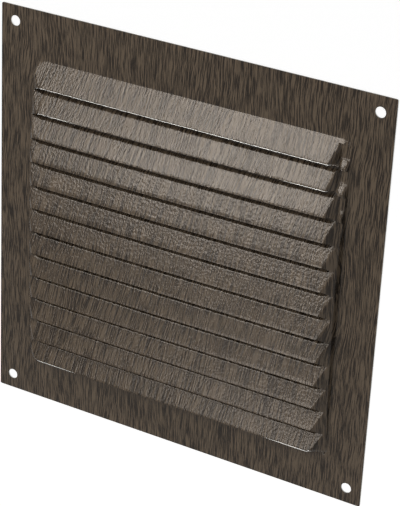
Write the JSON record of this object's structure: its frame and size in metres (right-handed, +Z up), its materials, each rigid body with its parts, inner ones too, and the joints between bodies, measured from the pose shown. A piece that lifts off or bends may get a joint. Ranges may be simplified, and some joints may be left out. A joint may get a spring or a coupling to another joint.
{
  "type": "louvred vent grille",
  "caption": "Square pressed-metal wall vent grille with downward louvres, a dark wood-grain film on its face, corner fixing holes, and an insect screen held behind it by strips of sealing foam.",
  "frame": {"origin": "the middle of the four fixing holes, on the back face of the plate", "axes": "+X to the right seen from the front, -Y out of the front face and away from the wall, +Z up, against the way the louvres shed water"},
  "size_m": [0.2, 0.0132, 0.2],
  "materials": {
    "sheet_metal": "galvanised steel sheet with a thin grey primer on its back and bright sheared edges",
    "wood_film": "satin dark brown wood-grain decor film with fine upright streaks",
    "screen_wire": "dull drawn wire",
    "sealing_foam": "matt black closed-cell foam tape"
  },
  "bodies": {
    "root": {"pressed_sheet": "sheet_metal", "decor_film": "wood_film", "screen_warp_wires": "screen_wire", "screen_weft_wires": "screen_wire", "foam_top": "sealing_foam", "foam_bottom": "sealing_foam", "foam_left": "sealing_foam", "foam_right": "sealing_foam"}
  },
  "joints": []
}
